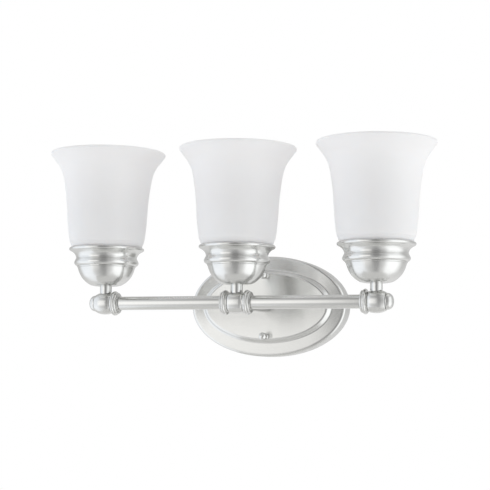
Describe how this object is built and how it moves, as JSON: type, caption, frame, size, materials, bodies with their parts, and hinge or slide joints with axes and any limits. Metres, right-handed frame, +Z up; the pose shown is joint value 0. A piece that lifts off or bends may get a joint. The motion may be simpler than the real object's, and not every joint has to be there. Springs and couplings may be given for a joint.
{
  "type": "vanity light bar",
  "caption": "Wall light bar with an oval backplate, an arm, a horizontal tube bar and upturned opal glass bell shades in spun metal cups.",
  "frame": {"origin": "centre of the mounting strap's back face, on the wall, level with the backplate's centre; the bar's axis is 1.4 mm lower", "axes": "+X along the bar, +Y into the wall, +Z up; the room is at -Y"},
  "size_m": [0.4732, 0.2127, 0.2442],
  "materials": {
    "satin_nickel": "brushed and lacquered nickel plate",
    "zinc_steel": "zinc plated steel",
    "green_screw": "green painted steel",
    "aluminium_shell": "pressed aluminium",
    "brass_contact": "bright pressed brass",
    "porcelain": "white glaze",
    "wire_insulation": "extruded sleeve",
    "opal_glass": "etched white opal glass",
    "bulb_glass": "frosted white"
  },
  "bodies": {
    "fixture": {"backplate": "satin_nickel", "mounting_strap": "zinc_steel", "ground_screw": "green_screw", "stud_upper": "zinc_steel", "stud_lower": "zinc_steel", "arm_tube": "satin_nickel", "arm_nipple_plate": "zinc_steel", "arm_nipple_hub": "zinc_steel", "arm_lock_nut": "zinc_steel", "hub_centre": "satin_nickel", "ring_centre_left": "satin_nickel", "bar_nipple_centre_left": "zinc_steel", "bar_tube_left": "satin_nickel", "ring_left": "satin_nickel", "bar_nipple_left": "zinc_steel", "hub_left": "satin_nickel", "end_cap_left": "satin_nickel", "ring_centre_right": "satin_nickel", "bar_nipple_centre_right": "zinc_steel", "bar_tube_right": "satin_nickel", "ring_right": "satin_nickel", "bar_nipple_right": "zinc_steel", "hub_right": "satin_nickel", "end_cap_right": "satin_nickel", "stem_left": "satin_nickel", "stem_nipple_left": "zinc_steel", "cup_left": "satin_nickel", "socket_body_left": "porcelain", "socket_shell_left": "aluminium_shell", "socket_contact_left": "brass_contact", "stem_centre": "satin_nickel", "stem_nipple_centre": "zinc_steel", "cup_centre": "satin_nickel", "socket_body_centre": "porcelain", "socket_shell_centre": "aluminium_shell", "socket_contact_centre": "brass_contact", "stem_right": "satin_nickel", "stem_nipple_right": "zinc_steel", "cup_right": "satin_nickel", "socket_body_right": "porcelain", "socket_shell_right": "aluminium_shell", "socket_contact_right": "brass_contact", "lead_left": "wire_insulation", "lead_centre": "wire_insulation", "lead_right": "wire_insulation"},
    "glass_left": {"shade_left": "opal_glass"},
    "clamp_left": {"retaining_ring_left": "aluminium_shell"},
    "lamp_left": {"bulb_base_left": "brass_contact", "bulb_glass_left": "bulb_glass"},
    "glass_centre": {"shade_centre": "opal_glass"},
    "clamp_centre": {"retaining_ring_centre": "aluminium_shell"},
    "lamp_centre": {"bulb_base_centre": "brass_contact", "bulb_glass_centre": "bulb_glass"},
    "glass_right": {"shade_right": "opal_glass"},
    "clamp_right": {"retaining_ring_right": "aluminium_shell"},
    "lamp_right": {"bulb_base_right": "brass_contact", "bulb_glass_right": "bulb_glass"},
    "nut_upper": {"cap_nut_upper": "satin_nickel"},
    "nut_lower": {"cap_nut_lower": "satin_nickel"}
  },
  "joints": [
    {"name": "shade_lift_left", "type": "slide", "parent": "fixture", "child": "glass_left", "axis": [0, 0, 1], "range_m": [0, 0.04]},
    {"name": "ring_unscrew_left", "type": "slide", "parent": "glass_left", "child": "clamp_left", "axis": [0, 0, 1], "range_m": [0, 0.015]},
    {"name": "bulb_unscrew_left", "type": "slide", "parent": "clamp_left", "child": "lamp_left", "axis": [0, 0, 1], "range_m": [0, 0.03]},
    {"name": "shade_lift_centre", "type": "slide", "parent": "fixture", "child": "glass_centre", "axis": [0, 0, 1], "range_m": [0, 0.04]},
    {"name": "ring_unscrew_centre", "type": "slide", "parent": "glass_centre", "child": "clamp_centre", "axis": [0, 0, 1], "range_m": [0, 0.015]},
    {"name": "bulb_unscrew_centre", "type": "slide", "parent": "clamp_centre", "child": "lamp_centre", "axis": [0, 0, 1], "range_m": [0, 0.03]},
    {"name": "shade_lift_right", "type": "slide", "parent": "fixture", "child": "glass_right", "axis": [0, 0, 1], "range_m": [0, 0.04]},
    {"name": "ring_unscrew_right", "type": "slide", "parent": "glass_right", "child": "clamp_right", "axis": [0, 0, 1], "range_m": [0, 0.015]},
    {"name": "bulb_unscrew_right", "type": "slide", "parent": "clamp_right", "child": "lamp_right", "axis": [0, 0, 1], "range_m": [0, 0.03]},
    {"name": "cap_nut_unscrew_upper", "type": "slide", "parent": "fixture", "child": "nut_upper", "axis": [0, -1, 0], "range_m": [0, 0.018]},
    {"name": "cap_nut_unscrew_lower", "type": "slide", "parent": "fixture", "child": "nut_lower", "axis": [0, -1, 0], "range_m": [0, 0.018]}
  ]
}
